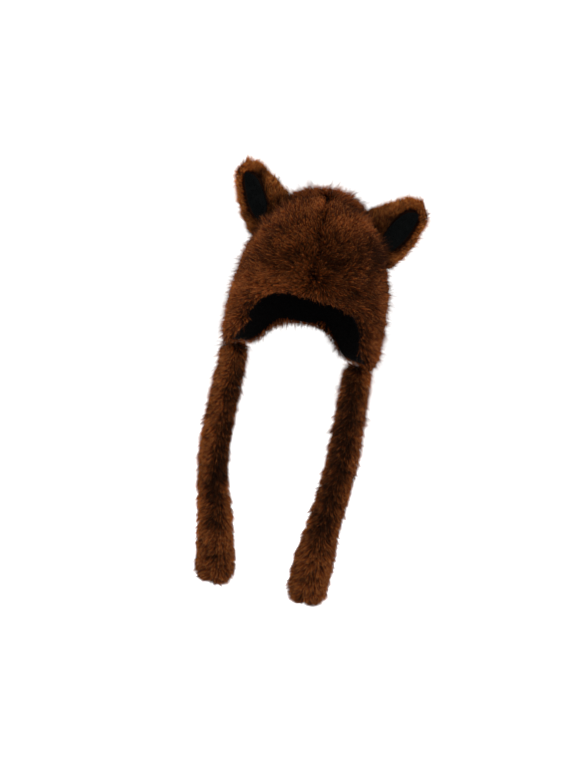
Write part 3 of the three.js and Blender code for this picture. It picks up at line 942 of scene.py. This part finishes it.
ties = {
    "pad": {"voxel": 3.5 * mm, "smooth": 10, "sink": 3.6 * mm, "smoothSunk": 4},
    "fill": 0.6,
    "hairs": 36000,
    "seeds": {"roots": 81, "tone": 87, "length": 89, "hairs": 91},
    # where the hairs part, in degrees to the right of the front, the height of the crease, the middle
    # of the stripe of painted shade below and above it, and places of painted light and shade
    "sides": {
        "left": {
            "parting": 20, "crease": -0.405, "stripe": (8, 44), "stripeWidth": 38, "stripeEnd": -0.478,
            "tones": [
                (-83, -226, 10, 12, 0.2),
                (-84, -392, 12, 18, -0.24),
                (-62, -425, 10, 9, 0.25),
                (-93, -437, 8, 16, 0.3),
                (-56, -455, 10, 30, 0.2),
                (-87, -483, 8, 25, 0.25),
                (-60, -514, 16, 16, -0.2),
            ],
        },
        "right": {
            "parting": 0, "crease": -0.430, "stripe": (-4, -14), "stripeWidth": 42, "stripeEnd": -0.462,
            "tones": [
                (86, -300, 60, 90, -0.1),
                (92, -228, 8, 10, 0.3),
                (82, -415, 12, 10, 0.25),
                (94, -428, 9, 10, -0.3),
                (85, -474, 18, 14, -0.24),
                (66, -512, 16, 16, -0.2),
                (104, -535, 8, 16, 0.3),
            ],
        },
    },
    # the stripe is full for a third of its width and gone at 1.3 times that width to each side, and
    # it turns and ends over this height
    "stripeCore": 3, "stripeSpread": 1.3, "blend": 10 * mm,
    "down": 0.9, "sweep": 0.7,  # how much the hairs hang, and lie away from the parting
    "sweepFrom": (0, 25), "sweepTo": (110, 170),  # degrees round from the parting
    "end": (0.0, 0.022), "top": (-0.012, -0.004),  # heights from the lowest and highest ring of the tube
    "tone": 0.5, "toneRipple": 0.07, "toneSize": 18 * mm, "stripeShade": 0.5,
    # the sides are lighter, painted light from the lamps at either side; the top is darker, painted shade
    # under the flap; the end is darker
    "edge": (50, 80), "edgeTone": 0.18, "topShade": 0.05, "endTone": 0.15,
    "stripeShorter": 0.15, "endLonger": 0.3, "lengthRipple": 0.06, "lengthSize": 12 * mm,
    "topLoose": 0.4,
}
tieCoat = dict(
    crownCoat, length=12 * mm, width=0.6 * mm, lift=38, droop=12, swing=12,
    tuftHairs=6, gather=0.45, tuftTone=0.12, toneSpread=0.16, guardShare=0.13, guardTone=0.4, guardWidth=1.5,
    strayShare=0.15, strayLength=1.7, strayTone=0.35,
)


def spineOf(points, step=8 * mm):
    # the middle of a hanging tube at a few heights, from its lowest to its highest
    heights = np.arange(points[:, 2].min() + step, points[:, 2].max() - step, step)
    middles = []
    for height in heights:
        ring = points[np.abs(points[:, 2] - height) < step]
        middles.append((ring.min(0) + ring.max(0)) / 2)
    return heights, np.array(middles)


def shadeStripe(tie, roots, bearing):
    # the stripe of painted shade down the front, which bends over at the crease
    def above(height):
        return ease(height - ties["blend"], height + ties["blend"], roots[:, 2])

    middle = between(*tie["stripe"], above(tie["crease"]))
    wide = (tie["stripeWidth"] / ties["stripeCore"], tie["stripeWidth"] * ties["stripeSpread"])
    return fade(wide, np.abs(bearing - middle)) * above(tie["stripeEnd"])


def growTies():
    seeds = ties["seeds"]
    for index, (name, tie) in enumerate(ties["sides"].items()):
        node = "tie_" + name
        pelt = makeStuffedPelt(node, ties["pad"])
        heights, middles = spineOf(vertexArray(pelt.data))
        roots, normals = scatterRoots(pelt, ties["hairs"], seeds["roots"] + index)
        spine = np.stack([np.interp(roots[:, 2], heights, middles[:, axis]) for axis in range(3)], 1)
        outward = roots - spine
        outward[:, 2] = 0
        bearing = np.degrees(np.arctan2(outward[:, 0], -outward[:, 1]))
        outward = unit(outward)
        tangent = np.stack([-outward[:, 1], outward[:, 0], np.zeros(len(roots))], 1)
        fromParting = (bearing - tie["parting"] + 180) % 360 - 180
        sweep = ease(*ties["sweepFrom"], np.abs(fromParting)) * fade(ties["sweepTo"], np.abs(fromParting))
        sweep = np.sign(fromParting) * sweep
        end = fade(ties["end"], roots[:, 2] - heights[0])
        top = ease(*ties["top"], roots[:, 2] - heights[-1])
        lay = straightDown * ties["down"] + tangent * sweep[:, None] * ties["sweep"]
        lay = lay + outward * (end + top)[:, None]
        stripe = shadeStripe(tie, roots, bearing)
        tone = ties["tone"] - ties["stripeShade"] * stripe + blotches(roots, tie["tones"])
        tone = tone + ties["toneRipple"] * ripples(roots, ties["toneSize"], seeds["tone"] + index)
        tone = tone + ties["edgeTone"] * ease(*ties["edge"], np.abs(bearing))
        tone = tone - ties["topShade"] * top - ties["endTone"] * end
        reach = 1 - ties["stripeShorter"] * stripe + ties["endLonger"] * end
        reach = reach + ties["lengthRipple"] * ripples(roots, ties["lengthSize"], seeds["length"])
        hair = growHair(
            node + "_hair", roots, normals, lay, tieCoat, seeds["hairs"] + index, tieHair,
            reach, tone, 0, ties["topLoose"] * top)
        settle(pelt, node)
        settle(hair)
        print(node, "has", len(roots), "hairs")


growTies()


# Black lining and ear panels

napCoat = {
    "length": 2.6 * mm, "width": 0.7 * mm, "taper": 0.7,
    "lift": 58, "liftSpread": 10, "droop": 15, "swing": 25, "turn": 80,
    "tuftHairs": 20, "gather": 0.35, "tuftTone": 0.1, "tuftLength": 0.1, "toneSpread": 0.12,
    "strayShare": 0.0, "strayLength": 1.0, "strayTone": 0.0,
    "guardShare": 0.1, "guardTone": 0.2, "guardWidth": 1.0,
}
panelCoat = dict(napCoat, length=1.6 * mm)
lining = {
    "hairs": 18000, "seeds": {"roots": 101, "hairs": 103, "tone": 105},
    "inFacing": 0.2, "rimFacing": -0.5,  # the nap grows on faces that look inwards, but not on the rim
    "tone": 0.12, "toneRipple": 0.06, "toneSize": 15 * mm,
    "flapHeights": (-0.210, -0.160), "flapTone": 0.7,  # the flaps' insides are lighter
    "rimReach": 8 * mm, "rimShorter": 0.6,
}
earPanels = {"hairs": 3500, "seeds": {"roots": 107, "hairs": 109}, "tone": 0.12}


def makeLining():
    piece = copyOf("lining", "lining_plush")
    editAll(piece, bpy.ops.mesh.tris_convert_to_quads)
    finishWith(piece, "SUBSURF", levels=1, render_levels=1)
    dress(piece, plush)

    def inside(centres, facing):
        rim = (facing[:, 2] < lining["rimFacing"]) & (centres[:, 2] < crown["rimBelow"])
        return (dot(facing, unit(centres - hearth))[:, 0] < lining["inFacing"]) & ~rim

    seeds = lining["seeds"]
    roots, normals = scatterRoots(piece, lining["hairs"], seeds["roots"], inside)
    lay = np.broadcast_to(straightDown, roots.shape)
    tone = lining["tone"] + lining["toneRipple"] * ripples(roots, lining["toneSize"], seeds["tone"])
    tone = tone + lining["flapTone"] * fade(lining["flapHeights"], roots[:, 2])
    reach = 1 - lining["rimShorter"] * nearRim(roots, lining["rimReach"])
    nap = growHair("lining_nap", roots, normals, lay, napCoat, seeds["hairs"], napHair, reach, tone)
    settle(piece, "lining")
    settle(nap)
    print("the lining has", len(roots), "hairs")


def makeEarPanels():
    seeds = earPanels["seeds"]
    for index, name in enumerate(ears["sides"]):
        node = "ear_panel_" + name
        panel = copyOf(node, node + "_velvet")
        editAll(panel, bpy.ops.mesh.tris_convert_to_quads)
        finishWith(panel, "SUBSURF", levels=2, render_levels=2)
        dress(panel, velvet)
        roots, normals = scatterRoots(panel, earPanels["hairs"], seeds["roots"] + index)
        lay = np.broadcast_to(straightDown, roots.shape)
        nap = growHair(
            node + "_nap", roots, normals, lay, panelCoat, seeds["hairs"] + index, napHair,
            tone=earPanels["tone"])
        settle(panel, node)
        settle(nap)
    print("the ear panels are in place")


makeLining()
makeEarPanels()
